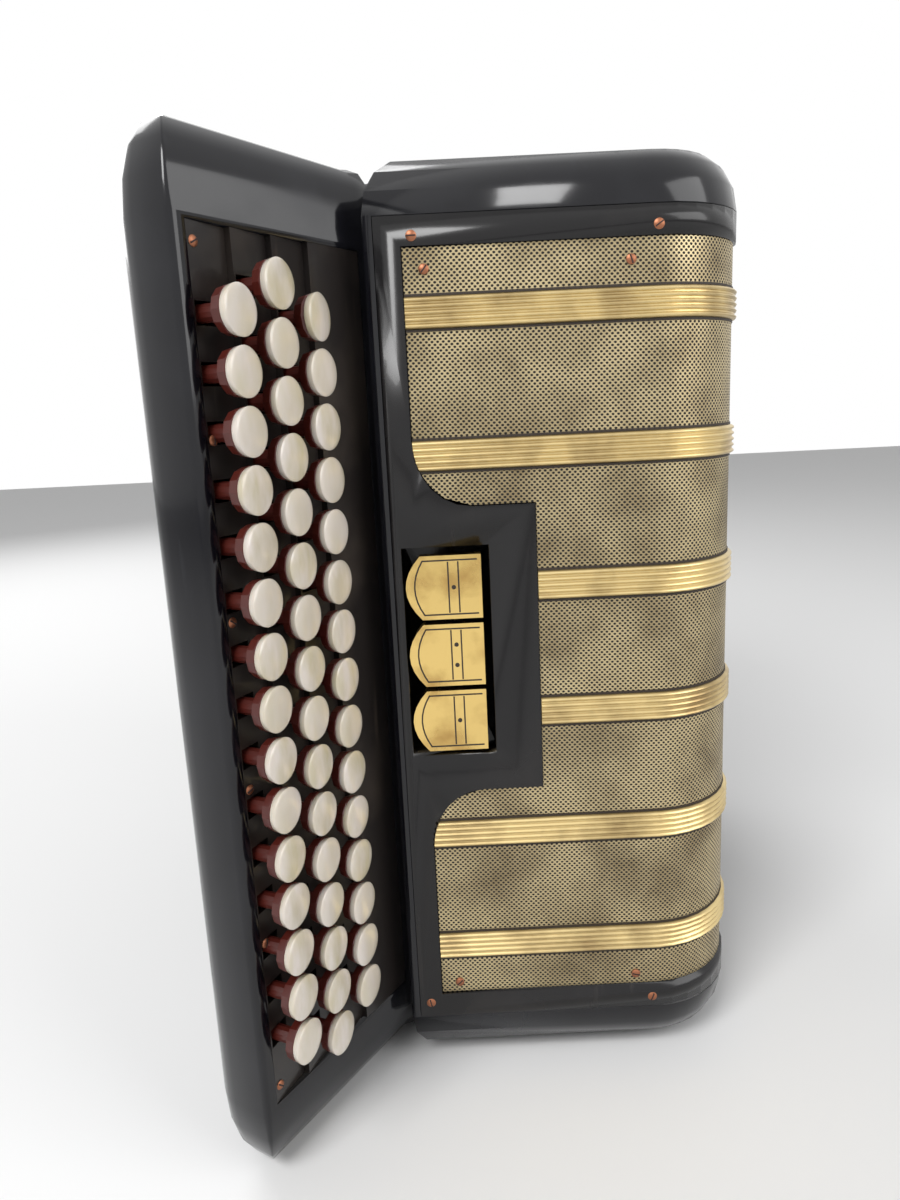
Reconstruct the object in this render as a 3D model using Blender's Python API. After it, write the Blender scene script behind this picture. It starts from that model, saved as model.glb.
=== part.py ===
# Button accordion with three stepped rows of treble buttons, stood on its lower ends.
# Metres, +Z up along the button rows, treble end at -Y, front (away from the player) at +X.
# Origin: under the middle of the closed bellows, on the surface that the feet rest on.
import bpy
import bmesh
from math import sin, cos, radians, pi
from mathutils import Vector, Matrix

mm = 0.001

# Whole instrument
caseHeight = 374 * mm
footHeight = 4 * mm
footRadius = 9 * mm
frontX = 111 * mm
backX = -102 * mm
bellowsHalf = 52 * mm
trebleDepth = 100 * mm
bassDepth = 88 * mm
wall = 6 * mm
gap = 0.3 * mm
endInset = 18 * mm
endRise = 22 * mm

# Wing that carries the buttons: face line through faceFoot at faceAngle from the bellows axis
faceFoot = Vector((-80.8 * mm, -204.3 * mm))
faceAngle = radians(33.4)
rimReach = 11 * mm
rimThickness = 23 * mm
valleyReach = 81 * mm

# Buttons
buttonPitch = 18.3 * mm
rowSpacing = 18.15 * mm
rowCounts = (15, 16, 15)
buttonRadius = 7.9 * mm
buttonHeight = 5.6 * mm
capEdge = 1.3 * mm
stemRadius = 3.0 * mm
stemAngle = radians(25)
faceAbove = 12.5 * mm
travel = 4.5 * mm
slotWidth = 7.4 * mm
slotLength = 9.0 * mm
slotBack = 3.0 * mm
keyFoot = 4.6 * mm

# Stepped board
boardThickness = 5 * mm
boardStart = 5.2 * mm
boardEnd = 77 * mm
boardHalf = 155 * mm
treadLead = 5.5 * mm
treadDrop = 2.6 * mm

# Grille frame and grille
frontRadius = 40 * mm
frameLeft = -32 * mm
frameHalf = 164.5 * mm
frameThickness = 5 * mm
frameSideEnd = -84 * mm
windowHalf = 154 * mm
windowLeft = -22 * mm
windowSideEnd = -92 * mm
tabRight = 24.5 * mm
tabHalf = 58.7 * mm
tabCurve = 25 * mm
grilleThickness = 2 * mm
grilleSink = 1.2 * mm
bandPitch = 52.3 * mm
bandHeight = 11.7 * mm
bandCount = 6
bandRise = 1.6 * mm
ribCount = 5
ribDepth = 0.7 * mm

# Register rockers
rockerCount = 3
rockerPitch = 27.5 * mm
rockerHeight = 25.5 * mm
rockerLeft = -29 * mm
rockerRight = 3.5 * mm
rockerThickness = 5.5 * mm
rockerProud = 1.5 * mm
rockerBow = 6 * mm
rockerHub = 3.0 * mm
rockerPin = 1.2 * mm
recessLeft = -31 * mm
recessRight = 6 * mm
recessHalf = 43.5 * mm
recessDepth = 19 * mm
trayWall = 2.5 * mm
rockerTilt = radians(7)

# Bellows
foldCount = 14
foldDepth = 22 * mm
bellowsSkin = 1.6 * mm
bellowsInset = 4 * mm
bellowsCorner = 8 * mm
flangeInset = 6 * mm

# Bass side
bassRows = 5
bassPerRow = 16
bassPitchZ = 16.5 * mm
bassPitchY = 11.5 * mm
bassButtonRadius = 4.2 * mm
bassButtonHeight = 6 * mm
bassBoardHalf = 136 * mm
bassBoardThickness = 4 * mm
bassBoardSink = 9 * mm
bassBoardStart = 68 * mm
bassBoardEnd = 132 * mm
airRadius = 7 * mm
airTravel = 5 * mm
airHeight = 9 * mm
strapWidth = 62 * mm
strapThickness = 5 * mm
strapBow = 38 * mm
strapX = 10 * mm
strapHalf = 158 * mm
cinchWidth = 24 * mm
cinchThickness = 1.8 * mm
cinchReach = 26 * mm

middle = footHeight + caseHeight / 2
bottom = footHeight
top = footHeight + caseHeight
trebleJoint = -bellowsHalf
trebleFront = -bellowsHalf - trebleDepth
bassJoint = bellowsHalf
bassEnd = bellowsHalf + bassDepth
alongFace = Vector((sin(faceAngle), cos(faceAngle)))
outOfFace = Vector((cos(faceAngle), -sin(faceAngle)))
stemOut = Vector((cos(stemAngle), -sin(stemAngle)))
stemAlong = Vector((sin(stemAngle), cos(stemAngle)))

for old in list(bpy.data.objects):
    bpy.data.objects.remove(old, do_unlink=True)

pieces = bpy.data.collections.new("button_accordion")
cutters = bpy.data.collections.new("cutters")
bpy.context.scene.collection.children.link(pieces)
bpy.context.scene.collection.children.link(cutters)


def facePoint(along, deep):
    return faceFoot + alongFace * along - outOfFace * deep


def material(name, colour, roughness, metallic):
    made = bpy.data.materials.new(name)
    made.use_nodes = True
    shader = made.node_tree.nodes["Principled BSDF"]
    shader.inputs["Base Color"].default_value = (*colour, 1)
    shader.inputs["Roughness"].default_value = roughness
    shader.inputs["Metallic"].default_value = metallic
    return made


def place(name, mesh, finish):
    made = bpy.data.objects.new(name, mesh)
    pieces.objects.link(made)
    if finish:
        made.data.materials.clear()
        made.data.materials.append(material(name, *finish))
    return made


def hide(made):
    cutters.objects.link(made)
    made.hide_render = True
    made.display_type = "WIRE"
    return made


def finishMesh(name, bm):
    bmesh.ops.recalc_face_normals(bm, faces=bm.faces)
    mesh = bpy.data.meshes.new(name)
    bm.to_mesh(mesh)
    bm.free()
    return mesh


# Corners are (x, y, radius, steps); the outline runs counter-clockwise.
def rounded(corners, inset=0.0, still=()):
    count = len(corners)
    lines = []
    for i in range(count):
        a = Vector(corners[i][:2])
        b = Vector(corners[(i + 1) % count][:2])
        way = (b - a).normalized()
        inward = Vector((-way.y, way.x))
        shift = 0.0 if i in still else inset
        lines.append((a + inward * shift, way))
    out = []
    for i in range(count):
        p, d = lines[i - 1]
        q, e = lines[i]
        cross = d.x * e.y - d.y * e.x
        if abs(cross) < 1e-6:
            out.append(q.copy())
            continue
        r = q - p
        corner = p + d * ((r.x * e.y - r.y * e.x) / cross)
        radius, steps = corners[i][2:]
        if not radius:
            out.append(corner)
            continue
        radius = max(radius - inset, 0.5 * mm) if cross > 0 else radius + inset
        turn = d.angle(e)
        reach = radius * (sin(turn / 2) / cos(turn / 2))
        side = 1 if cross > 0 else -1
        centre = corner - d * reach + Vector((-d.y, d.x)) * radius * side
        start = corner - d * reach - centre
        for k in range(steps + 1):
            out.append(centre + Matrix.Rotation(side * turn * k / steps, 2) @ start)
    return out


def loft(name, rings):
    bm = bmesh.new()
    loops = [[bm.verts.new(p) for p in ring] for ring in rings]
    for low, high in zip(loops, loops[1:]):
        for i in range(len(low)):
            j = (i + 1) % len(low)
            bm.faces.new((low[i], low[j], high[j], high[i]))
    bm.faces.new(reversed(loops[0]))
    bm.faces.new(loops[-1])
    return finishMesh(name, bm)


def prism(name, outline, low, high):
    rings = [[(p[0], p[1], z) for p in outline] for z in (low, high)]
    return loft(name, rings)


def box(name, low, high):
    outline = [(low[0], low[1]), (high[0], low[1]), (high[0], high[1]), (low[0], high[1])]
    return prism(name, outline, low[2], high[2])


def rolled(name, corners, still, inset=endInset, rise=endRise, steps=4):
    rings = []
    for end in (0, 1):
        for k in range(steps + 1):
            turn = pi / 2 * (k / steps if end else 1 - k / steps)
            amount = inset * (1 - cos(turn))
            height = rise * (1 - sin(turn))
            level = top - height if end else bottom + height
            if k == 0 and end:
                level = top - rise
            rings.append([(p.x, p.y, level) for p in rounded(corners, amount, still)])
    return loft(name, rings)


def cut(target, mesh, operation="DIFFERENCE"):
    cutter = hide(bpy.data.objects.new("cut_" + mesh.name, mesh))
    step = target.modifiers.new("cut", "BOOLEAN")
    step.operation = operation
    step.solver = "EXACT"
    step.object = cutter
    return cutter


def joined(name, meshes):
    bm = bmesh.new()
    for mesh in meshes:
        bm.from_mesh(mesh)
    made = bpy.data.meshes.new(name)
    bm.to_mesh(made)
    bm.free()
    return made


def turned(name, profile, steps, matrix):
    bm = bmesh.new()
    rings = []
    for radius, height in profile:
        if radius == 0:
            rings.append([bm.verts.new(matrix @ Vector((0, 0, height)))])
            continue
        ring = [(radius * cos(2 * pi * k / steps), radius * sin(2 * pi * k / steps)) for k in range(steps)]
        rings.append([bm.verts.new(matrix @ Vector((x, y, height))) for x, y in ring])
    for low, high in zip(rings, rings[1:]):
        for i in range(steps):
            j = (i + 1) % steps
            a = low[i % len(low)]
            b = low[j % len(low)]
            c = high[j % len(high)]
            d = high[i % len(high)]
            bm.faces.new(tuple(dict.fromkeys((a, b, c, d))))
    return finishMesh(name, bm)


def foot(name, x, y):
    profile = ((0, 0), (footRadius * 0.85, 0), (footRadius, 1 * mm), (footRadius, footHeight + 3 * mm), (0, footHeight + 3 * mm))
    return turned(name, profile, 16, Matrix.Translation((x, y, 0)))


black = ((0.012, 0.012, 0.014), 0.18, 0.0)
brass = ((0.52, 0.43, 0.24), 0.38, 0.9)

# Treble case: a box with a rounded front corner, and a wing that rises past the grille
blockCorners = [
    (backX, trebleJoint, 0, 0),
    (backX, trebleFront + 30 * mm, 0, 0),
    (frameLeft - 3.5 * mm, trebleFront + 30 * mm, 0, 0),
    (frameLeft - 3.5 * mm, trebleFront, 0, 0),
    (frontX, trebleFront, frontRadius, 8),
    (frontX, trebleJoint, 0, 0),
]
case = place("treble_case", rolled("treble_case", blockCorners, (5,)), black)
rim = facePoint(-rimReach, 0)
rimBack = facePoint(-rimReach, rimThickness)
wingCorners = [
    (backX, trebleFront + 50 * mm, 0, 0),
    (backX - 6 * mm, trebleFront - 8 * mm, 0, 0),
    (rimBack.x - 1 * mm, rimBack.y, 14 * mm, 4),
    (rim.x, rim.y, 2.5 * mm, 2),
    (*facePoint(valleyReach, 0), 0, 0),
    (frameLeft + 2 * mm, trebleFront + 18 * mm, 0, 0),
    (frameLeft + 2 * mm, trebleFront + 50 * mm, 0, 0),
]
cut(case, rolled("wing", wingCorners, (6,), 12 * mm, 30 * mm), "UNION")

chamber = [
    *(facePoint(-2 * mm, boardThickness + 1 * mm),),
    *(facePoint(76 * mm, boardThickness + 1 * mm),),
    *(facePoint(86 * mm, boardThickness + 1 * mm),),
    (frameLeft + 1 * mm, trebleFront + 21 * mm),
    (frameLeft + 1 * mm, trebleFront + 4 * mm),
    (frontX - wall - 24 * mm, trebleFront + 4 * mm),
    (frontX - wall - 7 * mm, trebleFront + 14 * mm),
    (frontX - wall, trebleFront + 34 * mm),
    (frontX - wall, trebleFront + 40 * mm),
    (-60 * mm, trebleFront + 40 * mm),
    (backX + wall, trebleFront + 6 * mm),
    (backX + wall - 4 * mm, rimBack.y + 14 * mm),
    (rimBack.x + 9 * mm, rimBack.y + 4 * mm),
]
cut(case, prism("mechanism_chamber", chamber, bottom + 16 * mm, top - 16 * mm))
reedLow = (backX + wall, trebleFront + 46 * mm, bottom + 14 * mm)
cut(case, box("reed_chamber", reedLow, (frontX - wall, trebleJoint + 10 * mm, top - 14 * mm)))


def wrap(left, outside, inside, sideEnd):
    centre = Vector((frontX - frontRadius, trebleFront + frontRadius))
    outer = [(left, trebleFront - outside)]
    inner = [(left, trebleFront + inside)]
    for k in range(9):
        way = Vector((sin(pi / 2 * k / 8), -cos(pi / 2 * k / 8)))
        outer.append(tuple(centre + way * (frontRadius + outside)))
        inner.append(tuple(centre + way * (frontRadius - inside)))
    outer.append((frontX + outside, sideEnd))
    inner.append((frontX - inside, sideEnd))
    return outer + inner[::-1]


seat = wrap(frameLeft, 6 * mm, frameThickness + gap, frameSideEnd)
cut(case, prism("frame_seat", seat, middle - frameHalf - gap, middle + frameHalf + gap))
mouth = wrap(frameLeft + 6 * mm, -frameThickness, 24 * mm, windowSideEnd)
cut(case, prism("frame_mouth", mouth, middle - windowHalf - 3 * mm, middle + windowHalf + 3 * mm))
soundHoles = []
for k in range(9):
    level = middle + (k - 4) * 36 * mm
    holeLow = (-30 * mm, trebleFront + 38 * mm, level - 12 * mm)
    soundHoles.append(box("pallet_hole", holeLow, (80 * mm, trebleFront + 48 * mm, level + 12 * mm)))
cut(case, joined("pallet_holes", soundHoles))
backWay = (backX + wall + 8 * mm, trebleJoint - 1 * mm, bottom + 24 * mm)
cut(case, box("bellows_way", backWay, (frontX - wall - 8 * mm, trebleJoint + 11 * mm, top - 24 * mm)))

# The board's seat in the wing's face, and the room under it
seatLine = [facePoint(-boardStart - gap, -8 * mm), facePoint(-boardStart - gap, boardThickness + gap),
            facePoint(boardEnd + gap, boardThickness + gap), facePoint(boardEnd + gap, -2 * mm),
            facePoint(60 * mm, -8 * mm)]
cut(case, prism("board_seat", seatLine, middle - boardHalf - gap, middle + boardHalf + gap))
underLine = [facePoint(-4.5 * mm, 2 * mm), facePoint(-4.5 * mm, 6.5 * mm), facePoint(-8 * mm, 6.5 * mm), facePoint(-8 * mm, 15.5 * mm),
             facePoint(66 * mm, 15.5 * mm), facePoint(66 * mm, 2 * mm)]
cut(case, prism("board_way", underLine, middle - boardHalf + 6 * mm, middle + boardHalf - 6 * mm))
for x, y in ((-70 * mm, trebleJoint - 25 * mm), (70 * mm, trebleJoint - 25 * mm)):
    cut(case, foot("treble_foot", x, y), "UNION")

# Stepped board with a slot for every stem
rowFeet = [k * rowSpacing for k in range(3)]
profile = [facePoint(boardEnd, boardThickness), facePoint(boardEnd, 0.4 * mm)]
noses = [foot_ - treadLead + rowSpacing for foot_ in rowFeet]
profile = [facePoint(-boardStart, boardThickness), facePoint(boardEnd, boardThickness), facePoint(boardEnd, 0.4 * mm)]
for nose in reversed(noses):
    profile.append(facePoint(nose, 0.2 * mm))
    profile.append(facePoint(nose - 0.3 * mm, treadDrop))
profile.append(facePoint(-boardStart, 0.3 * mm))
board = place("button_board", prism("button_board", profile, middle - boardHalf, middle + boardHalf), ((0.02, 0.017, 0.016), 0.3, 0))

slots = []
keySpots = []
for row, count in enumerate(rowCounts):
    rowFoot = facePoint(rowFeet[row], 0)
    for k in range(count):
        level = middle + ((count - 1) / 2 - k) * buttonPitch
        keySpots.append((row, k, rowFoot, level))
        corners = []
        for s, n in ((-1, -1), (1, -1), (1, 1), (-1, 1)):
            corners.append(rowFoot + stemAlong * s * slotLength / 2 + stemOut * n * 12 * mm)
        slots.append(prism("slot", corners, level - slotWidth / 2, level + slotWidth / 2))
cut(board, joined("board_slots", slots))

# A key: pearl cap and body in one turned head, on a stem with a wider foot under the board
keyProfile = (
    (0, faceAbove),
    (buttonRadius * 0.55, faceAbove - 0.25 * mm),
    (buttonRadius - capEdge, faceAbove - 0.9 * mm),
    (buttonRadius, faceAbove - 2.4 * mm),
    (buttonRadius - 0.6 * mm, faceAbove - buttonHeight),
    (stemRadius, faceAbove - buttonHeight),
    (stemRadius, -7.5 * mm),
    (keyFoot, -7.5 * mm),
    (keyFoot, -9 * mm),
    (0, -9 * mm),
)
stemMatrix = Matrix((
    (0, stemAlong.x, stemOut.x, 0),
    (0, stemAlong.y, stemOut.y, 0),
    (1, 0, 0, 0),
    (0, 0, 0, 1),
))
keyMesh = turned("key", keyProfile, 12, stemMatrix)
keyMesh.materials.append(material("pearl", (0.80, 0.77, 0.66), 0.22, 0))
rowNames = ("outer", "middle", "inner")
for row, k, rowFoot, level in keySpots:
    key = place("key_%s_%02d" % (rowNames[row], k + 1), keyMesh, None)
    key.location = (rowFoot.x, rowFoot.y, level)

# Grille frame: wraps round the front corner, with a tab that holds the registers
frameLine = wrap(frameLeft + gap, 0, frameThickness, frameSideEnd - gap)
frame = place("grille_frame", prism("grille_frame", frameLine, middle - frameHalf, middle + frameHalf), black)


def windowLine(clear):
    left = windowLeft + clear
    line = [(frontX + 20 * mm, -windowHalf + clear), (frontX + 20 * mm, windowHalf - clear), (left, windowHalf - clear)]
    edge = []
    for k in range(7):
        turn = pi / 2 * k / 6
        x = left + 22 * mm * (1 - cos(turn))
        edge.append((x, tabHalf + clear + tabCurve * (1 - sin(turn))))
    edge.append((tabRight + clear, tabHalf + clear))
    line += edge
    line += [(x, -z) for x, z in reversed(edge)]
    line.append((left, -windowHalf + clear))
    return line


def windowCutter(name, clear, sideEnd):
    rings = [[(x, y, middle + z) for x, z in windowLine(clear)] for y in (trebleFront - 20 * mm, sideEnd)]
    return loft(name, rings)


cut(frame, windowCutter("window", 0, windowSideEnd))
trayLow = (recessLeft - trayWall * 0 + gap, trebleFront + frameThickness - 1 * mm, middle - recessHalf - trayWall)
trayHigh = (recessRight + trayWall, trebleFront + recessDepth, middle + recessHalf + trayWall)
cut(frame, box("register_tray", trayLow, trayHigh), "UNION")
recessLow = (recessLeft + trayWall, trebleFront - 5 * mm, middle - recessHalf)
cut(frame, box("register_recess", recessLow, (recessRight, trebleFront + recessDepth - trayWall, middle + recessHalf)))
pivot = Vector(((rockerLeft + rockerRight) / 2 + 4 * mm, trebleFront + 6.5 * mm))
pinHalf = recessHalf + 1 * mm
pinProfile = ((0, -pinHalf), (rockerPin, -pinHalf), (rockerPin, pinHalf), (0, pinHalf))
cut(frame, turned("register_pin", pinProfile, 10, Matrix.Translation((*pivot, middle))), "UNION")

# Register rockers: bowed plate with a hub that turns on the pin
rockerFront = trebleFront - rockerProud
for n in range(rockerCount):
    level = middle + (1 - n) * rockerPitch
    left = recessLeft + trayWall + 1.2 * mm
    outline = [(rockerRight - 1 * mm, -rockerHeight / 2), (rockerRight - 1 * mm, rockerHeight / 2)]
    for k in range(9):
        share = 1 - 2 * k / 8
        outline.append((left + rockerBow * share * share, rockerHeight / 2 * share))
    rings = [[(x, y, level + z) for x, z in outline] for y in (rockerFront, rockerFront + rockerThickness)]
    finish = ((0.66, 0.50, 0.20), 0.22, 1.0)
    rocker = place("register_%d" % (n + 1), loft("register_%d" % (n + 1), rings), finish)
    hubRise = rockerHeight / 2 - 0.5 * mm
    hubProfile = ((0, -hubRise), (rockerHub, -hubRise), (rockerHub, hubRise), (0, hubRise))
    cut(rocker, turned("rocker_hub", hubProfile, 12, Matrix.Translation((*pivot, level))), "UNION")
    boreProfile = ((0, -20 * mm), (rockerPin + gap, -20 * mm), (rockerPin + gap, 20 * mm), (0, 20 * mm))
    cut(rocker, turned("rocker_bore", boreProfile, 10, Matrix.Translation((*pivot, level))))

# Grille: thin sheet on the frame's curve, with six raised bands of five ribs
levels = [(-windowHalf + gap, 0.0)]
for n in range(bandCount):
    base = (n - (bandCount - 1) / 2) * bandPitch - bandHeight / 2
    levels.append((base, 0.0))
    for k in range(ribCount):
        low = base + bandHeight * k / ribCount
        step = bandHeight / ribCount
        levels.append((low + step * 0.2, bandRise))
        levels.append((low + step * 0.8, bandRise))
        if k < ribCount - 1:
            levels.append((low + step, bandRise - ribDepth))
    levels.append((base + bandHeight, 0.0))
levels.append((windowHalf - gap, 0.0))
rings = []
for z, rise in levels:
    line = wrap(windowLeft + gap, rise - grilleSink, grilleSink + grilleThickness, windowSideEnd - gap)
    rings.append([(x, y, middle + z) for x, y in line])
grille = place("grille", loft("grille", rings), brass)
keepRings = [[(x, y, middle + z) for x, z in windowLine(gap)] for y in (trebleFront - 20 * mm, windowSideEnd + 5 * mm)]
cut(grille, loft("grille_outline", keepRings), "INTERSECT")

# Bellows: one folded skin, open at both ends
bellowsLow = bottom + bellowsInset
bellowsHigh = top - bellowsInset


def bellowsRing(y, inset):
    corner = bellowsCorner + 6 * mm
    left = backX + bellowsInset + inset
    right = frontX - bellowsInset - inset
    low = bellowsLow + inset
    high = bellowsHigh - inset
    return [(left + corner, y, low), (right - corner, y, low), (right, y, low + corner), (right, y, high - corner),
            (right - corner, y, high), (left + corner, y, high), (left, y, high - corner), (left, y, low + corner)]


foldStations = []
spread = 2 * (bellowsHalf - gap) - 8 * mm
for k in range(2 * foldCount + 1):
    y = -bellowsHalf + gap + 4 * mm + spread * k / (2 * foldCount)
    foldStations.append((y, foldDepth if k % 2 == 0 else 0.0))
ends = bellowsHalf - gap
stations = [(-ends, flangeInset)] + foldStations + [(ends, flangeInset)]
outerRings = [bellowsRing(y, inset) for y, inset in stations]
innerRings = [bellowsRing(y, inset + bellowsSkin) for y, inset in stations]
bm = bmesh.new()
loops = [[bm.verts.new(p) for p in ring] for ring in outerRings + innerRings[::-1]]
for a, b in zip(loops, loops[1:] + loops[:1]):
    for i in range(8):
        j = (i + 1) % 8
        bm.faces.new((a[i], a[j], b[j], b[i]))
bellows = place("bellows", finishMesh("bellows", bm), ((0.03, 0.02, 0.02), 0.6, 0))

# Bass case, open to the bellows
bassCorners = [
    (backX, bassEnd, 24 * mm, 5),
    (backX, bassJoint, 0, 0),
    (frontX, bassJoint, 0, 0),
    (frontX, bassEnd, 24 * mm, 5),
]
bass = place("bass_case", rolled("bass_case", bassCorners, (1,)), black)
cut(bass, box("bass_room", (backX + wall, bassJoint - 1 * mm, bottom + 24 * mm), (frontX - wall - 16 * mm, bassEnd - 2 * wall, top - 24 * mm)))
bassSeatLow = (frontX - bassBoardSink - bassBoardThickness - gap, bassBoardStart - gap, middle - bassBoardHalf - gap)
cut(bass, box("bass_seat", bassSeatLow, (frontX + 10 * mm, bassBoardEnd + gap, middle + bassBoardHalf + gap)))
for x, y in ((-70 * mm, bassJoint + 30 * mm), (70 * mm, bassJoint + 30 * mm)):
    cut(bass, foot("bass_foot", x, y), "UNION")

# Bass buttons on their board
boardFace = frontX - bassBoardSink
bassLow = (boardFace - bassBoardThickness, bassBoardStart, middle - bassBoardHalf)
bassBoard = place("bass_board", box("bass_board", bassLow, (boardFace, bassBoardEnd, middle + bassBoardHalf)), ((0.6, 0.58, 0.5), 0.3, 0))
studs = []
outward = Matrix.Rotation(pi / 2, 4, "Y")
for row in range(bassRows):
    for k in range(bassPerRow):
        y = (bassBoardStart + bassBoardEnd) / 2 + (row - 2) * bassPitchY
        z = middle + (k - 7.5) * bassPitchZ + (row - 2) * 3 * mm
        stud = ((0, -1 * mm), (bassButtonRadius, -1 * mm), (bassButtonRadius, bassButtonHeight - 1 * mm), (bassButtonRadius - 1 * mm, bassButtonHeight), (0, bassButtonHeight))
        studs.append(turned("bass_button", stud, 8, Matrix.Translation((boardFace, y, z)) @ outward))
cut(bassBoard, joined("bass_buttons", studs), "UNION")

# Air button on the end of the bass case, beside the strap
airSpot = (70 * mm, bassEnd, top - 60 * mm)
airHole = turned("air_hole", ((0, -20 * mm), (4 * mm, -20 * mm), (4 * mm, 10 * mm), (0, 10 * mm)), 12, Matrix.Translation(airSpot) @ Matrix.Rotation(-pi / 2, 4, "X"))
cut(bass, airHole)
airProfile = ((0, airHeight), (airRadius - 1.5 * mm, airHeight), (airRadius, airHeight - 1.5 * mm), (airRadius, airTravel + 0.6 * mm), (3.7 * mm, airTravel + 0.6 * mm), (3.7 * mm, -10 * mm), (0, -10 * mm))
air = place("air_button", turned("air_button", airProfile, 16, Matrix.Rotation(-pi / 2, 4, "X")), ((0.7, 0.7, 0.7), 0.2, 1.0))
air.location = airSpot

# Hand strap: bowed band over the bass end, its ends lying on the case
strapBoxes = []
for n in range(21):
    share = 1 - 2 * n / 20
    flat = min(1.0, (1 - abs(share)) / 0.14)
    lift = gap + (strapBow - gap) * (1 - (share / 0.86) ** 2 if abs(share) < 0.86 else 0)
    strapBoxes.append((middle - strapHalf * share, bassEnd + max(lift, gap)))
rings = []
for z, y in strapBoxes:
    half = strapWidth / 2
    rings.append([(strapX - half, y, z), (strapX + half, y, z), (strapX + half, y + strapThickness, z), (strapX - half, y + strapThickness, z)])
strap = place("hand_strap", loft("hand_strap", rings), ((0.03, 0.02, 0.015), 0.6, 0))

# Straps that hold the bellows shut, fixed to the bass case
for name, level, down in (("bellows_strap_top", top + gap, 1), ("bellows_strap_bottom", bottom - gap - cinchThickness, 0)):
    low = (-cinchWidth / 2, trebleJoint - cinchReach, level)
    high = (cinchWidth / 2, bassJoint + cinchReach, level + cinchThickness)
    place(name, box(name, low, high), ((0.03, 0.02, 0.015), 0.6, 0))

print("objects", len(pieces.objects))
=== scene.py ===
import random
from math import atan2, cos, pi, radians, sin

import bmesh
import bpy
from mathutils import Matrix, Vector


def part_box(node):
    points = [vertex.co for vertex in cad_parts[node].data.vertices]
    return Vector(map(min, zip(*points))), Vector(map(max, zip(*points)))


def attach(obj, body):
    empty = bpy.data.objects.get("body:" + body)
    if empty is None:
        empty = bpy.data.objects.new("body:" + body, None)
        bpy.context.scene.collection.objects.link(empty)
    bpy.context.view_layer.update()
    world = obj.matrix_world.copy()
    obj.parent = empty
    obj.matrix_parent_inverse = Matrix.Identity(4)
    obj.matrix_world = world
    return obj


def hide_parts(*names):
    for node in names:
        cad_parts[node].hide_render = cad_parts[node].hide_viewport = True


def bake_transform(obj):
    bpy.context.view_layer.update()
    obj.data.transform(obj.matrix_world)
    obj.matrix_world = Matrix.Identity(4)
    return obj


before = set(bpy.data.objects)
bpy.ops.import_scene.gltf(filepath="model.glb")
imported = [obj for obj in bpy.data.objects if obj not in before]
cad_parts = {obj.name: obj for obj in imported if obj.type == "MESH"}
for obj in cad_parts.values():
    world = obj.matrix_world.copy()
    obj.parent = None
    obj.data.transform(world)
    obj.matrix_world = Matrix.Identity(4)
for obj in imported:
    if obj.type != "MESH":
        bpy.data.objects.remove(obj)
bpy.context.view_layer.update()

mm = 0.001
middle = 191 * mm
random.seed(7)
print("stage: frame loaded")


# Materials
def newMaterial(name, colour, roughness, metallic=0.0, coat=0.0):
    made = bpy.data.materials.new(name)
    made.use_nodes = True
    shader = made.node_tree.nodes["Principled BSDF"]
    shader.inputs["Base Color"].default_value = (*colour, 1)
    shader.inputs["Roughness"].default_value = roughness
    shader.inputs["Metallic"].default_value = metallic
    shader.inputs["Coat Weight"].default_value = coat
    shader.inputs["Coat Roughness"].default_value = 0.06
    return made


class Graph:
    def __init__(self, mat):
        self.tree = mat.node_tree
        self.shader = self.tree.nodes["Principled BSDF"]

    def add(self, kind, inputs=None, **settings):
        node = self.tree.nodes.new(kind)
        for key, value in settings.items():
            setattr(node, key, value)
        for key, value in (inputs or {}).items():
            if isinstance(value, bpy.types.NodeSocket):
                self.tree.links.new(value, node.inputs[key])
            else:
                node.inputs[key].default_value = value
        return node

    def math(self, operation, a, b=0.0):
        return self.add("ShaderNodeMath", {0: a, 1: b}, operation=operation).outputs[0]

    def mix(self, factor, a, b):
        node = self.add("ShaderNodeMix", {0: factor}, data_type="RGBA")
        for socket, value in ((node.inputs[6], a), (node.inputs[7], b)):
            if isinstance(value, bpy.types.NodeSocket):
                self.tree.links.new(value, socket)
            else:
                socket.default_value = (*value, 1)
        return node.outputs[2]

    def ramp(self, value, low, high):
        return self.add("ShaderNodeMapRange", {0: value, 1: low, 2: high}).outputs[0]

    def noise(self, scale, detail=3.0, stretch=None):
        where = self.add("ShaderNodeTexCoord").outputs["Object"]
        if stretch:
            where = self.add("ShaderNodeVectorMath", {0: where, 1: stretch}, operation="MULTIPLY").outputs[0]
        return self.add("ShaderNodeTexNoise", {"Vector": where, "Scale": scale, "Detail": detail}).outputs[0]

    def link(self, value, socket):
        self.tree.links.new(value, self.shader.inputs[socket])

    def bump(self, height, strength, distance):
        node = self.add("ShaderNodeBump", {"Strength": strength, "Distance": distance, "Height": height})
        self.link(node.outputs[0], "Normal")


# Dusty and scratched black, with the dust's colour given
def wornBlack(name, colour, dust, roughness):
    mat = newMaterial(name, colour, roughness, 0.0, 0.15)
    g = Graph(mat)
    g.shader.inputs["Specular IOR Level"].default_value = 0.35
    cloud = g.ramp(g.noise(22, 6), 0.5, 0.78)
    scratch = g.ramp(g.noise(160, 2, (1, 1, 0.07)), 0.66, 0.74)
    dirt = g.math("MULTIPLY", cloud, 0.35)
    both = g.math("MAXIMUM", dirt, g.math("MULTIPLY", scratch, 0.25))
    g.link(g.mix(both, colour, dust), "Base Color")
    g.link(g.math("ADD", g.math("MULTIPLY", both, 0.5), roughness), "Roughness")
    return mat


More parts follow.
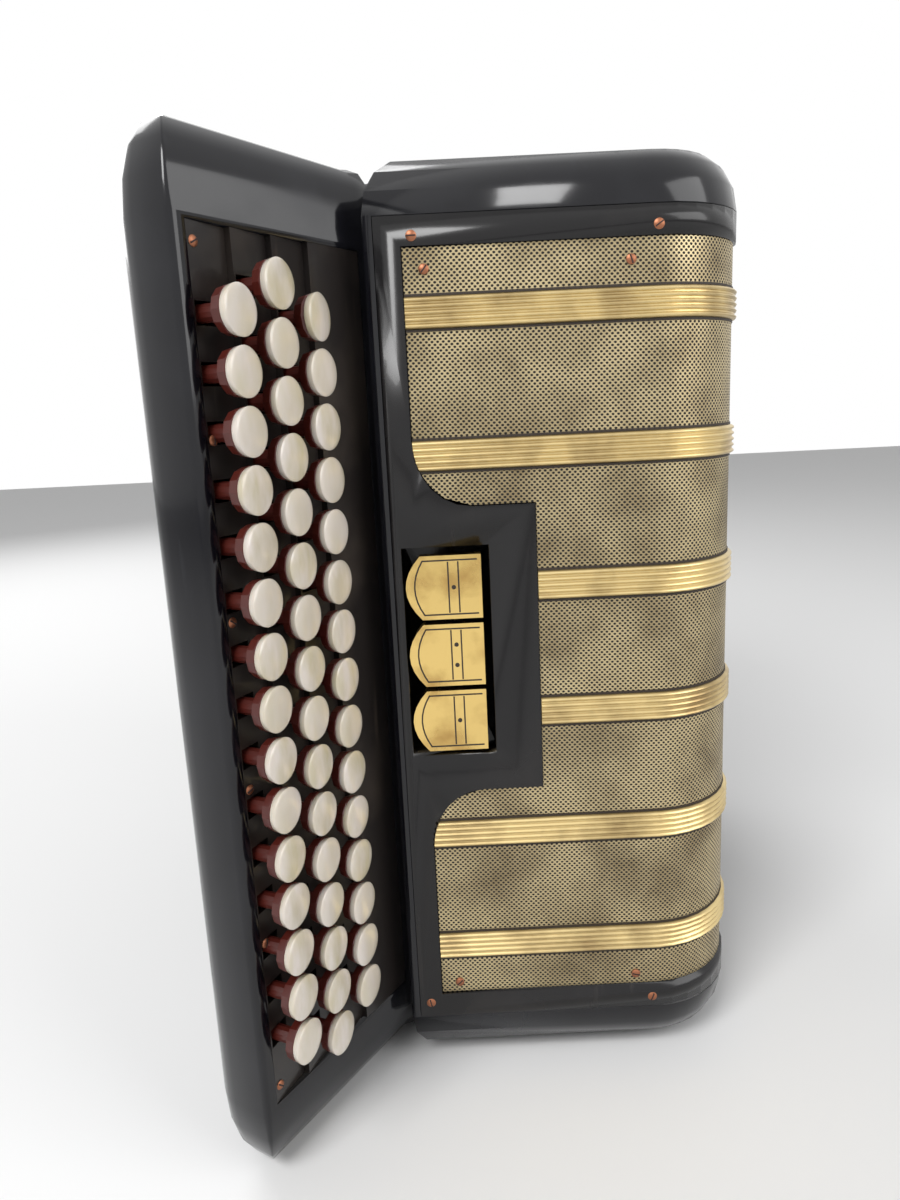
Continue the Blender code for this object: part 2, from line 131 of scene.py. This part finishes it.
def gilt():
    mat = newMaterial("gilt", (0.72, 0.50, 0.16), 0.2, 1.0)
    g = Graph(mat)
    tarnish = g.ramp(g.noise(60, 5), 0.45, 0.75)
    g.link(g.mix(tarnish, (0.74, 0.53, 0.19), (0.42, 0.25, 0.08)), "Base Color")
    g.link(g.math("ADD", g.math("MULTIPLY", tarnish, 0.2), 0.18), "Roughness")
    return mat


def leather():
    mat = newMaterial("leather", (0.022, 0.014, 0.010), 0.55)
    g = Graph(mat)
    g.bump(g.noise(900, 3), 0.35, 0.0004)
    return mat


def bandGold():
    mat = newMaterial("band_gold", (0.66, 0.50, 0.22), 0.3, 0.92)
    g = Graph(mat)
    wear = g.ramp(g.noise(45, 5), 0.42, 0.72)
    g.link(g.mix(wear, (0.70, 0.55, 0.27), (0.34, 0.24, 0.11)), "Base Color")
    return mat


def pearl(index):
    shade = random.uniform(-0.05, 0.05)
    warm = random.uniform(-0.02, 0.06)
    base = (0.60 + shade, 0.54 + shade, 0.42 + shade - warm)
    mat = newMaterial("pearl_%d" % index, base, 0.2, 0.0, 0.5)
    g = Graph(mat)
    shimmer = g.ramp(g.noise(90 + 20 * index, 3, (1, 1, 0.35)), 0.35, 0.7)
    g.link(g.mix(shimmer, base, (0.68, 0.62, 0.57)), "Base Color")
    g.shader.inputs["Subsurface Weight"].default_value = 0.15
    g.shader.inputs["Subsurface Radius"].default_value = (0.003, 0.002, 0.0015)
    return mat


# Staggered dark holes in pale metal; the UV map is in millimetres along and up the sheet
def piercedBrass():
    holes = {"pitch": 2.1, "flatten": 0.62, "inside": 0.20, "outside": 0.30}
    mat = newMaterial("pierced_brass", (0.5, 0.4, 0.22), 0.4, 0.85)
    g = Graph(mat)
    uv = g.add("ShaderNodeTexCoord").outputs["UV"]
    split = g.add("ShaderNodeSeparateXYZ", {0: uv})
    u, v = split.outputs[0], split.outputs[1]
    row = g.math("DIVIDE", v, holes["pitch"] * 0.5)
    odd = g.math("MODULO", g.math("FLOOR", row), 2.0)
    along = g.math("ADD", g.math("DIVIDE", u, holes["pitch"]), g.math("MULTIPLY", odd, 0.5))
    du = g.math("SUBTRACT", g.math("FRACT", along), 0.5)
    dv = g.math("MULTIPLY", g.math("SUBTRACT", g.math("FRACT", row), 0.5), holes["flatten"])
    reach = g.math("SQRT", g.math("ADD", g.math("MULTIPLY", du, du), g.math("MULTIPLY", dv, dv)))
    strand = g.ramp(reach, holes["inside"], holes["outside"])
    worn = g.ramp(g.noise(35, 6), 0.38, 0.7)
    pale = g.mix(worn, (0.56, 0.46, 0.27), (0.26, 0.20, 0.11))
    g.link(g.mix(strand, (0.006, 0.005, 0.004), pale), "Base Color")
    g.link(g.math("MULTIPLY", strand, 0.85), "Metallic")
    g.link(g.math("SUBTRACT", 0.85, g.math("MULTIPLY", strand, 0.45)), "Roughness")
    g.bump(strand, 0.9, 0.0008)
    return mat


caseMat = wornBlack("celluloid", (0.004, 0.004, 0.006), (0.022, 0.023, 0.028), 0.14)
frameMat = wornBlack("frame_celluloid", (0.004, 0.0035, 0.004), (0.028, 0.024, 0.022), 0.2)
boardMat = wornBlack("board_lacquer", (0.013, 0.010, 0.009), (0.10, 0.075, 0.055), 0.34)
clothMat = wornBlack("bellows_cloth", (0.016, 0.012, 0.012), (0.05, 0.045, 0.042), 0.62)
goldMat = gilt()
bandMat = bandGold()
sheetMat = piercedBrass()
leatherMat = leather()
# Dark of the register engravings, also used for the painted shade strips along the grille bands
engravingAndShadeMat = newMaterial("engraving_and_painted_shade", (0.02, 0.012, 0.006), 0.6)
copperMat = newMaterial("copper_screw", (0.32, 0.13, 0.07), 0.45, 0.9)
# Painted shade for the screw slots
slotShadeMat = newMaterial("screw_slot_painted_shade", (0.02, 0.01, 0.01), 0.8)
keyBodyMat = newMaterial("key_body", (0.075, 0.012, 0.008), 0.3)
bassMat = newMaterial("bass_board", (0.02, 0.017, 0.016), 0.35)
chromeMat = newMaterial("chrome", (0.72, 0.72, 0.72), 0.14, 1.0)
pearls = [pearl(n) for n in range(6)]


# Meshes and pieces
def addPiece(name, mesh, mats, body, smooth=True):
    made = bpy.data.objects.new(name, mesh)
    bpy.context.scene.collection.objects.link(made)
    mesh.materials.clear()
    for mat in mats:
        mesh.materials.append(mat)
    if smooth:
        mesh.shade_smooth()
        mesh.set_sharp_from_angle(angle=radians(40))
    if body:
        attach(made, body)
    return made


def toMesh(name, bm):
    bmesh.ops.recalc_face_normals(bm, faces=bm.faces)
    mesh = bpy.data.meshes.new(name)
    bm.to_mesh(mesh)
    bm.free()
    return mesh


def turnedMesh(name, profile, steps, matrix):
    bm = bmesh.new()
    verts = [bm.verts.new((radius, 0, height)) for radius, height in profile]
    edges = [bm.edges.new(pair) for pair in zip(verts, verts[1:])]
    bmesh.ops.spin(bm, geom=verts + edges, cent=(0, 0, 0), axis=(0, 0, 1), angle=2 * pi, steps=steps)
    bmesh.ops.remove_doubles(bm, verts=bm.verts, dist=1e-6)
    bm.transform(matrix)
    return toMesh(name, bm)


def boxMesh(name, low, high):
    bm = bmesh.new()
    bmesh.ops.create_cube(bm, size=1)
    size = Vector(high) - Vector(low)
    bm.transform(Matrix.Translation((Vector(low) + Vector(high)) / 2) @ Matrix.Diagonal((*size, 1)))
    return toMesh(name, bm)


# Local +Z turned to the given direction, local +Y kept upright
def standing(spot, out):
    z = Vector(out).normalized()
    x = Vector((0, 0, 1)).cross(z).normalized()
    turn = Matrix((x, z.cross(x), z)).transposed().to_4x4()
    return Matrix.Translation(spot) @ turn


# CAD nodes that show as they are
finishes = {
    "button_board": boardMat, "bass_board": bassMat, "air_button": chromeMat,
    "register_1": goldMat, "register_2": goldMat, "register_3": goldMat,
}
keyNames = sorted(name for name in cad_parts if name.startswith("key_"))
finishes.update({name: keyBodyMat for name in keyNames})
for name, mat in finishes.items():
    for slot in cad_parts[name].material_slots:
        slot.material = mat
print("stage: CAD finishes")

# Cases and frame again, merged and shaded smooth round their corners
shells = (("treble_case", caseMat, "treble"), ("bass_case", caseMat, "bass"),
          ("grille_frame", frameMat, "treble"))
for name, mat, body in shells:
    bm = bmesh.new()
    bm.from_mesh(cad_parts[name].data)
    bmesh.ops.remove_doubles(bm, verts=bm.verts, dist=1e-6)
    mesh = bpy.data.meshes.new(name + "_shell")
    bm.to_mesh(mesh)
    bm.free()
    shell = addPiece(name + "_shell", mesh, [mat], body)
    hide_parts(name)
print("stage: smooth shells")

# Pearl caps
capSize = {"radius": 8.0 * mm, "edge": 2.3 * mm, "dome": 1.1 * mm, "rim": 0.4 * mm, "taper": 0.25 * mm,
           "chamfer": 0.6 * mm, "proud": 0.1 * mm, "rings": 6, "steps": 40, "tilt": radians(7)}
stemOut = Vector((cos(radians(25)), -sin(radians(25)), 0))


def capProfile(size):
    radius, edge = size["radius"], size["edge"]
    profile = [(0, size["dome"])]
    for k in range(1, size["rings"] + 1):
        turn = pi / 2 * k / size["rings"]
        profile.append((radius * sin(turn) ** 0.8, size["dome"] * cos(turn) ** 1.2))
    profile += [(radius, -size["rim"]), (radius - size["taper"], -edge + size["rim"])]
    return profile + [(radius - size["chamfer"], -edge), (0, -edge)]


for name in keyNames:
    low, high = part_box(name)
    face = max((v.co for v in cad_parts[name].data.vertices), key=lambda co: co.dot(stemOut))
    spot = Vector((face.x, face.y, (low[2] + high[2]) / 2))
    matrix = standing(spot + stemOut * capSize["proud"], stemOut)
    if name == "key_inner_01":
        matrix = matrix @ Matrix.Rotation(capSize["tilt"], 4, "Y")
    cap = turnedMesh("cap_" + name, capProfile(capSize), capSize["steps"], matrix)
    addPiece("cap_" + name, cap, [random.choice(pearls)], name)
print("stage: caps")

# Grille: sheet on the frame's curve, with six ribbed bands between dark lines of painted shade
grille = {"right": 111 * mm, "front": -152 * mm, "radius": 40 * mm, "half": 153.7 * mm, "left": -21.7 * mm,
          "sideEnd": -92.3 * mm, "sink": 1.2 * mm, "thick": 1.6 * mm, "columns": 26,
          "tabRight": 24.8 * mm, "tabHalf": 59 * mm, "tabCurve": 25 * mm, "tabBow": 22 * mm, "curveRows": 8}
band = {"count": 6, "pitch": 52.3 * mm, "height": 11.7 * mm, "ribs": 5, "lift": 0.4 * mm, "thick": 1.0 * mm,
        "rib": ((0.12, 0.7), (0.3, 1.3), (0.5, 1.5), (0.7, 1.3), (0.88, 0.7))}
# Sizes of the dark strips of painted shade along each band's edges
bandEdgeShade = {"height": 0.9 * mm, "lift": 0.35 * mm, "thick": 0.6 * mm}
straightRun = grille["right"] - grille["radius"] - grille["left"]
bendRun = pi / 2 * grille["radius"]
sideRun = grille["sideEnd"] - grille["front"] - grille["radius"]


# Point at a length along the path from the left edge, and at a distance outward of it
def pathPoint(length, outward):
    centre = Vector((grille["right"] - grille["radius"], grille["front"] + grille["radius"]))
    if length <= straightRun:
        return Vector((grille["left"] + length, grille["front"] - outward))
    if length <= straightRun + bendRun:
        turn = (length - straightRun) / grille["radius"]
        return centre + Vector((sin(turn), -cos(turn))) * (grille["radius"] + outward)
    return Vector((grille["right"] + outward, centre.y + length - straightRun - bendRun))


# Where the sheet starts at a height from the middle: past the tab, or in the curved notches beside it
def leftEdge(z):
    reach = abs(z) - grille["tabHalf"]
    if reach <= 0:
        return grille["tabRight"] - grille["left"]
    if reach >= grille["tabCurve"]:
        return 0.0
    share = 1 - reach / grille["tabCurve"]
    return grille["tabBow"] * (1 - (max(0.0, 1 - share * share)) ** 0.5)


def sheetRows():
    step = 1e-5
    tab, curve, count = grille["tabHalf"], grille["tabCurve"], grille["curveRows"]
    rows = [grille["half"], tab + curve, tab + step, tab]
    rows += [tab + curve * k / count for k in range(1, count)]
    return sorted([-row for row in rows] + rows)


def stripMesh(name, rows, offsets, depth):
    total = straightRun + bendRun + sideRun
    columns = grille["columns"]
    bm = bmesh.new()
    layer = bm.loops.layers.uv.new("path")
    grid = []
    for z, rise in zip(rows, offsets):
        start = leftEdge(z)
        line = [start + (total - start) * k / columns for k in range(columns + 1)]
        grid.append([(bm.verts.new((*pathPoint(s, rise), middle + z)), s, z) for s in line])
    for low, high in zip(grid, grid[1:]):
        for corners in zip(low, low[1:], high[1:], high):
            made = bm.faces.new([vert for vert, s, z in corners])
            for loop, (vert, s, z) in zip(made.loops, corners):
                loop[layer].uv = (s / mm, z / mm)
    bmesh.ops.recalc_face_normals(bm, faces=bm.faces)
    bmesh.ops.solidify(bm, geom=bm.faces, thickness=depth)
    return toMesh(name, bm)


rows = sheetRows()
sheetMesh = stripMesh("grille_sheet", rows, [-grille["sink"]] * len(rows), grille["thick"])
sheet = addPiece("grille_sheet", sheetMesh, [sheetMat], "treble")
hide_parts("grille")
for n in range(band["count"]):
    base = (n - (band["count"] - 1) / 2) * band["pitch"] - band["height"] / 2
    rows = [base]
    offsets = [-grille["sink"]]
    for k in range(band["ribs"]):
        low = base + band["height"] * k / band["ribs"]
        for share, rise in band["rib"]:
            rows.append(low + band["height"] * share / band["ribs"])
            offsets.append(rise * mm - grille["sink"] + band["lift"])
    rows.append(base + band["height"])
    offsets.append(-grille["sink"])
    name = "grille_band_%d" % n
    addPiece(name, stripMesh(name, rows, offsets, band["thick"]), [bandMat], "treble")
    # Dark strips just below and above each band: painted shade along its edges
    raised = bandEdgeShade["lift"] - grille["sink"]
    for k, edge in enumerate((base - bandEdgeShade["height"], base + band["height"])):
        name = "grille_line_%d_%d" % (n, k)
        mesh = stripMesh(name, [edge, edge + bandEdgeShade["height"]], [raised, raised], bandEdgeShade["thick"])
        addPiece(name, mesh, [engravingAndShadeMat], "treble")
print("stage: grille")

# Screws: places on the front are X and Z in millimetres
screws = {"frame": {"spots": ((-18, 348.5), (72, 348.5), (70, 31), (-27, 33)), "plane": -152 * mm,
                    "radius": 2.0 * mm, "turn": 0.0, "step": 0.6},
          "grille": {"spots": ((-14, 337), (62, 337), (63, 42), (-14, 42)), "plane": -151.2 * mm,
                     "radius": 1.9 * mm, "turn": 0.9, "step": 1.0}}
boardScrews = {"count": 6, "top": 149 * mm, "pitch": 59.6 * mm, "corner": (-80.8 * mm, -204.3 * mm),
               "inset": 2.6 * mm, "sink": 0.5 * mm, "radius": 1.8 * mm, "turn": 0.5}
head = {"top": 0.7 * mm, "crown": 0.55 * mm, "rim": 0.1 * mm, "base": -0.8 * mm, "steps": 20,
        "slotHalf": 0.25 * mm, "slotLow": 0.3 * mm, "slotTop": 0.74 * mm, "slotReach": 0.85}
front = Vector((0, -1, 0))


def screw(name, spot, out, radius, turn):
    place = standing(spot, out)
    profile = [(0, head["top"]), (radius * 0.7, head["crown"]), (radius, head["rim"])]
    profile += [(radius, head["base"]), (0, head["base"])]
    addPiece(name, turnedMesh(name, profile, head["steps"], place), [copperMat], "treble")
    # A dark bar across the head: painted shade in the slot
    reach = radius * head["slotReach"]
    low = (-reach, -head["slotHalf"], head["slotLow"])
    bar = boxMesh(name + "_slot", low, (reach, head["slotHalf"], head["slotTop"]))
    bar.transform(place @ Matrix.Rotation(turn, 4, "Z"))
    addPiece(name + "_slot", bar, [slotShadeMat], "treble", False)


for kind, values in screws.items():
    for n, (x, z) in enumerate(values["spots"]):
        spot = Vector((x * mm, values["plane"], z * mm))
        turn = values["turn"] + values["step"] * n
        screw("%s_screw_%d" % (kind, n), spot, front, values["radius"], turn)
boardAngle = radians(33.4)
faceOut = Vector((cos(boardAngle), -sin(boardAngle), 0))
faceAlong = Vector((sin(boardAngle), cos(boardAngle), 0))
for n in range(boardScrews["count"]):
    z = middle + boardScrews["top"] - boardScrews["pitch"] * n
    corner = Vector((*boardScrews["corner"], z))
    spot = corner - faceAlong * boardScrews["inset"] - faceOut * boardScrews["sink"]
    screw("board_screw_%d" % n, spot, faceOut, boardScrews["radius"], boardScrews["turn"] + n)

# Register markings: two lines, a dot or two between them, and an outline with a bowed left end
marks = {"half": 0.3 * mm, "low": 0.1 * mm, "high": 0.2 * mm, "lines": (-10.5 * mm, -6.5 * mm),
         "lineReach": 10.2 * mm, "edgeReach": 10.8 * mm, "edgeLeft": -20.5 * mm, "edgeRight": 1.0 * mm,
         "arcLeft": -23.8 * mm, "arcBow": 3.4 * mm, "arcSteps": 8, "arcLap": 0.1 * mm,
         "dotX": -8.5 * mm, "dotRadius": 0.9 * mm, "dotTop": 0.1 * mm, "dotBase": -0.2 * mm, "dotSteps": 16}
dotHeights = {1: (0,), 2: (-4.2 * mm, 4.2 * mm), 3: (0,)}


# A thin bar on a register's face, its middle at x and z, upright before it is leant
def engrave(name, body, face, x, z, halfWide, halfTall, lean=0.0):
    mark = boxMesh(name, (-halfWide, -marks["low"], -halfTall), (halfWide, marks["high"], halfTall))
    mark.transform(Matrix.Translation((x, face, z)) @ Matrix.Rotation(lean, 4, "Y"))
    addPiece(name, mark, [engravingAndShadeMat], body, False)


def arcPoint(share, z):
    return Vector((marks["arcLeft"] + marks["arcBow"] * share * share, z + marks["edgeReach"] * share))


for n, heights in dotHeights.items():
    body = "register_%d" % n
    low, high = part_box(body)
    face = low[1]
    z = (low[2] + high[2]) / 2
    for k, x in enumerate(marks["lines"]):
        engrave("%s_line_%d" % (body, k), body, face, x, z, marks["half"], marks["lineReach"])
    edgeMiddle = (marks["edgeLeft"] + marks["edgeRight"]) / 2
    edgeHalf = (marks["edgeRight"] - marks["edgeLeft"]) / 2
    for k, side in enumerate((-1, 1)):
        edge = z + side * marks["edgeReach"]
        engrave("%s_edge_%d" % (body, k), body, face, edgeMiddle, edge, edgeHalf, marks["half"])
    for k in range(marks["arcSteps"]):
        start = arcPoint(-1 + 2 * k / marks["arcSteps"], z)
        stop = arcPoint(-1 + 2 * (k + 1) / marks["arcSteps"], z)
        way = stop - start
        x, height = (start + stop) / 2
        reach = way.length / 2 + marks["arcLap"]
        engrave("%s_arc_%d" % (body, k), body, face, x, height, marks["half"], reach, atan2(way.x, way.y))
    profile = [(0, marks["dotTop"]), (marks["dotRadius"], marks["dotTop"])]
    profile += [(marks["dotRadius"], marks["dotBase"]), (0, marks["dotBase"])]
    for k, height in enumerate(heights):
        name = "%s_dot_%d" % (body, k)
        place = standing(Vector((marks["dotX"], face, z + height)), front)
        addPiece(name, turnedMesh(name, profile, marks["dotSteps"], place), [engravingAndShadeMat], body, False)
print("stage: registers")

# Bellows: folded skin that stretches between the two cases
folds = {"left": -98 * mm, "right": 107 * mm, "low": 8 * mm, "high": 374 * mm, "corner": 14 * mm,
         "end": 51.7 * mm, "endInset": 6 * mm, "reach": 47.7 * mm, "valley": 22 * mm, "count": 28,
         "skin": 1.2 * mm}


def bellowsRing(y, inset):
    left, right = folds["left"] + inset, folds["right"] - inset
    low, high = folds["low"] + inset, folds["high"] - inset
    c = folds["corner"]
    return [(left + c, y, low), (right - c, y, low), (right, y, low + c), (right, y, high - c),
            (right - c, y, high), (left + c, y, high), (left, y, high - c), (left, y, low + c)]


stations = [(-folds["end"], folds["endInset"])]
for k in range(folds["count"] + 1):
    stations.append((folds["reach"] * (2 * k / folds["count"] - 1), folds["valley"] if k % 2 == 0 else 0.0))
stations.append((folds["end"], folds["endInset"]))
bm = bmesh.new()
outer = [bellowsRing(y, inset) for y, inset in stations]
inner = [bellowsRing(y, inset + folds["skin"]) for y, inset in stations]
loops = [[bm.verts.new(p) for p in ring] for ring in outer + inner[::-1]]
for a, b in zip(loops, loops[1:] + loops[:1]):
    for i in range(8):
        j = (i + 1) % 8
        bm.faces.new((a[i], a[j], b[j], b[i]))
bellows = addPiece("bellows_folds", toMesh("bellows_folds", bm), [clothMat], None, False)
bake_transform(bellows)
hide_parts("bellows")
print("stage: bellows")

# Straps: a band along a line of points, with rounded outer edges
handStrap = {"x": 10 * mm, "face": 140 * mm, "lift": 37.7 * mm, "start": 0.3 * mm, "arch": 0.86,
             "reach": 158 * mm, "width": 62 * mm, "thick": 5 * mm, "points": 40}
bellowsStrap = {"reach": 78 * mm, "width": 24 * mm, "thick": 1.8 * mm, "points": 12,
                "bellows_strap_top": (378.3 * mm, 1), "bellows_strap_bottom": (3.7 * mm, -1)}
bandSection = ((-1, 0), (-0.96, 0.75), (-0.7, 1), (0.7, 1), (0.96, 0.75), (1, 0))


def bandMesh(name, points, width, thick, across):
    bm = bmesh.new()
    half = Vector(across) * width / 2
    sides = len(bandSection)
    loops = []
    for n, point in enumerate(points):
        before = Vector(points[max(n - 1, 0)])
        after = Vector(points[min(n + 1, len(points) - 1)])
        out = (after - before).normalized().cross(Vector(across)).normalized()
        ring = [Vector(point) + half * side + out * thick * rise for side, rise in bandSection]
        loops.append([bm.verts.new(corner) for corner in ring])
    for a, b in zip(loops, loops[1:]):
        for i in range(sides):
            j = (i + 1) % sides
            bm.faces.new((a[i], a[j], b[j], b[i]))
    bm.faces.new(loops[0][::-1])
    bm.faces.new(loops[-1])
    return toMesh(name, bm)


def strapPiece(node, line, values, across):
    name = node + "_leather"
    mesh = bandMesh(name, line, values["width"], values["thick"], across)
    piece = addPiece(name, mesh, [leatherMat], "bass")
    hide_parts(node)


line = []
for n in range(handStrap["points"] + 1):
    share = 1 - 2 * n / handStrap["points"]
    lift = handStrap["start"] + handStrap["lift"] * max(0.0, 1 - (share / handStrap["arch"]) ** 2)
    line.append((handStrap["x"], handStrap["face"] + lift, middle - handStrap["reach"] * share))
strapPiece("hand_strap", line, handStrap, (-1, 0, 0))
for node in ("bellows_strap_top", "bellows_strap_bottom"):
    z, up = bellowsStrap[node]
    count = bellowsStrap["points"]
    line = [(0, bellowsStrap["reach"] * (2 * k / count - 1), z) for k in range(count + 1)]
    strapPiece(node, line, bellowsStrap, (up, 0, 0))
print("stage: straps")

# Camera, light and floor
view = {"spot": (-0.010, -0.48766, 0.28612), "focal": 870.7, "tall": 1200, "sensor": 36,
        "yaw": 0.04, "pitch": -12.27, "roll": 2.8}
lamps = {"key": ((-0.7, -1.3, 1.5), 0.8, 26), "fill": ((1.4, -1.0, 1.0), 1.2, 14),
         "back": ((-1.0, 1.2, 1.2), 1.2, 14)}
aim = Vector((0, 0, 0.2))
scene = bpy.context.scene
data = bpy.data.cameras.new("camera")
camera = bpy.data.objects.new("camera", data)
scene.collection.objects.link(camera)
data.sensor_fit = "VERTICAL"
data.sensor_height = view["sensor"]
data.lens = view["sensor"] * view["focal"] / view["tall"]
data.clip_start = 0.01
turn = Matrix.Rotation(radians(view["yaw"]), 4, "Z") @ Matrix.Rotation(radians(view["pitch"]), 4, "X")
turn = turn @ Matrix.Rotation(radians(view["roll"]), 4, "Y") @ Matrix.Rotation(pi / 2, 4, "X")
camera.matrix_world = Matrix.Translation(view["spot"]) @ turn
scene.camera = camera
scene.view_settings.view_transform = "Standard"
for name, (spot, size, power) in lamps.items():
    lamp = bpy.data.objects.new(name, bpy.data.lights.new(name, "AREA"))
    lamp.data.size = size
    lamp.data.energy = power
    lamp.location = spot
    lamp.rotation_euler = (aim - Vector(spot)).to_track_quat("-Z", "Y").to_euler()
    scene.collection.objects.link(lamp)

# World: white where it is seen, directly or in metal and glass, and softer as light
world = bpy.data.worlds.new("studio")
scene.world = world
world.use_nodes = True
tree = world.node_tree
tree.nodes.clear()
path = tree.nodes.new("ShaderNodeLightPath")
shown = tree.nodes.new("ShaderNodeBackground")
shown.inputs[0].default_value = (1, 1, 1, 1)
soft = tree.nodes.new("ShaderNodeBackground")
soft.inputs[0].default_value = (1, 1, 1, 1)
soft.inputs[1].default_value = 0.3
mixed = tree.nodes.new("ShaderNodeMixShader")
end = tree.nodes.new("ShaderNodeOutputWorld")
seen = path.outputs["Is Camera Ray"]
for ray in ("Is Glossy Ray", "Is Transmission Ray"):
    either = tree.nodes.new("ShaderNodeMath")
    either.operation = "MAXIMUM"
    tree.links.new(seen, either.inputs[0])
    tree.links.new(path.outputs[ray], either.inputs[1])
    seen = either.outputs[0]
tree.links.new(seen, mixed.inputs[0])
tree.links.new(soft.outputs[0], mixed.inputs[1])
tree.links.new(shown.outputs[0], mixed.inputs[2])
tree.links.new(mixed.outputs[0], end.inputs[0])
floorMat = newMaterial("floor", (0.86, 0.86, 0.86), 0.6)
floor = addPiece("floor", boxMesh("floor", (-4, -4, -0.02), (4, 4, -0.0002)), [floorMat], None, False)
print("stage: light and camera")
